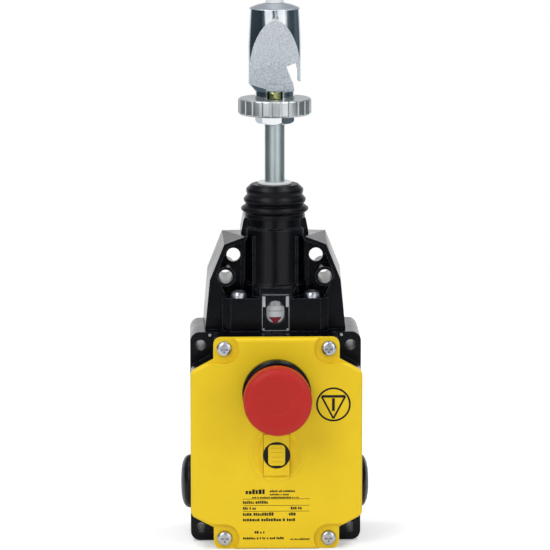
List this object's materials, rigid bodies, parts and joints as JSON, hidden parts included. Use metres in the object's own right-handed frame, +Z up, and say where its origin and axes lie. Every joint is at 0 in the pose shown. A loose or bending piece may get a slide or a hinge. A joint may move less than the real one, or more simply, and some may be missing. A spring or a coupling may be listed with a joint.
{
  "type": "rope pull switch",
  "caption": "Wall-mounted rope pull switch with a sprung spindle, rope clamp and tension wheel, bellows, tension window, mushroom stop button and reset knob.",
  "frame": {"origin": "centre of the four housing fixing holes, on the mounting face", "axes": "+Z up along the spindle towards the rope, -Y out of the cover towards the user, +X to the right as seen by the user"},
  "size_m": [0.1004, 0.091, 0.2943],
  "materials": {
    "painted_casting": "black powder coat, satin",
    "black_plastic": "moulded, fine grain",
    "yellow_plastic": "moulded, satin gloss",
    "red_plastic": "moulded, satin gloss",
    "pale_plastic": "moulded, smooth",
    "clear_plastic": "clear, polished",
    "black_rubber": "moulded, matt",
    "zinc_plated_steel": "bright zinc plate",
    "spring_steel": "drawn wire",
    "cast_zinc": "nickel-plated casting with a grainy face",
    "yellow_passivated_steel": "yellow passivated zinc plate",
    "bronze": "sintered",
    "contact_brass": "drawn strip"
  },
  "bodies": {
    "housing": {"main_housing": "painted_casting", "head_casting": "painted_casting", "head_gasket": "black_rubber", "front_cover": "yellow_plastic", "cover_gasket": "black_rubber", "cover_screws": "zinc_plated_steel", "head_screws": "zinc_plated_steel", "locating_pins": "zinc_plated_steel", "cable_plug_left": "black_plastic", "cable_plug_right": "black_plastic", "plug_seals": "black_rubber", "window_lens": "clear_plastic", "estop_collar": "black_plastic", "estop_nut": "black_plastic", "estop_spring": "spring_steel", "latch_plate": "zinc_plated_steel", "latch_plate_screws": "zinc_plated_steel", "latch_spring": "spring_steel", "guide_bush": "bronze", "main_spring": "spring_steel", "bellows": "black_rubber", "contact_block_left": "black_plastic", "contact_block_right": "black_plastic", "plunger_spring_left": "spring_steel", "plunger_spring_right": "spring_steel", "fixed_contacts": "contact_brass", "terminal_screws": "zinc_plated_steel", "block_screws": "zinc_plated_steel", "earth_screw": "contact_brass"},
    "spindle": {"spindle": "zinc_plated_steel", "spring_plate": "zinc_plated_steel", "retaining_rings": "zinc_plated_steel", "indicator_sleeve": "pale_plastic", "switch_cam": "pale_plastic", "cam_nut": "zinc_plated_steel", "bellows_washer": "pale_plastic", "lock_nut": "zinc_plated_steel"},
    "rope_clamp": {"neck_nut": "yellow_passivated_steel", "rope_clamp": "cast_zinc", "rope_guide": "pale_plastic"},
    "tension_wheel": {"tension_wheel": "zinc_plated_steel"},
    "estop": {"estop_cap": "red_plastic", "estop_stem": "pale_plastic", "estop_clip": "zinc_plated_steel", "estop_yoke": "zinc_plated_steel", "estop_rods": "pale_plastic", "estop_bridges": "contact_brass"},
    "reset": {"reset_knob": "yellow_plastic", "reset_ring": "black_plastic", "reset_shaft": "zinc_plated_steel", "reset_seal": "black_rubber"},
    "latch": {"latch_bar": "zinc_plated_steel"},
    "plunger_left": {"contact_plunger_left": "pale_plastic", "contact_bridge_left": "contact_brass"},
    "plunger_right": {"contact_plunger_right": "pale_plastic", "contact_bridge_right": "contact_brass"}
  },
  "joints": [
    {"name": "spindle_pull", "type": "slide", "parent": "housing", "child": "spindle", "axis": [0, 0, 1], "range_m": [0, 0.014], "stiffness_N_per_m": 6000, "springref_m": -0.006, "deforming": ["main_spring", "bellows"]},
    {"name": "clamp_adjust", "type": "slide", "parent": "spindle", "child": "rope_clamp", "axis": [0, 0, 1], "range_m": [0, 0.0071]},
    {"name": "wheel_turn", "type": "hinge", "parent": "rope_clamp", "child": "tension_wheel", "pos_m": [0, -0.024, 0.17], "axis": [0, 0, 1], "range_deg": [0, 1440]},
    {"name": "estop_press", "type": "slide", "parent": "housing", "child": "estop", "axis": [0, 1, 0], "range_m": [0, 0.005], "stiffness_N_per_m": 1500, "springref_m": -0.004, "deforming": ["estop_spring"]},
    {"name": "reset_turn", "type": "hinge", "parent": "housing", "child": "reset", "pos_m": [0, -0.06, -0.00575], "axis": [0, 1, 0], "range_deg": [0, 90]},
    {"name": "latch_slide", "type": "slide", "parent": "housing", "child": "latch", "axis": [0, 0, 1], "range_m": [-0.00395, 0], "stiffness_N_per_m": 60, "springref_m": 0.01, "deforming": ["latch_spring"]},
    {"name": "plunger_right_slide", "type": "slide", "parent": "housing", "child": "plunger_right", "axis": [1, 0, 0], "range_m": [0, 0.0022], "deforming": ["plunger_spring_right"]},
    {"name": "plunger_left_slide", "type": "slide", "parent": "housing", "child": "plunger_left", "axis": [-1, 0, 0], "range_m": [0, 0.0022], "deforming": ["plunger_spring_left"]}
  ],
  "couplings": [
    {"joint": "clamp_adjust", "follows": "wheel_turn", "m_per_rad": 0.00027852},
    {"joint": "reset_turn", "follows": "latch_slide", "rad_per_m": -396.69},
    {"joint": "plunger_right_slide", "follows": "spindle_pull", "ratio": 0.15},
    {"joint": "plunger_left_slide", "follows": "spindle_pull", "ratio": 0.15}
  ]
}
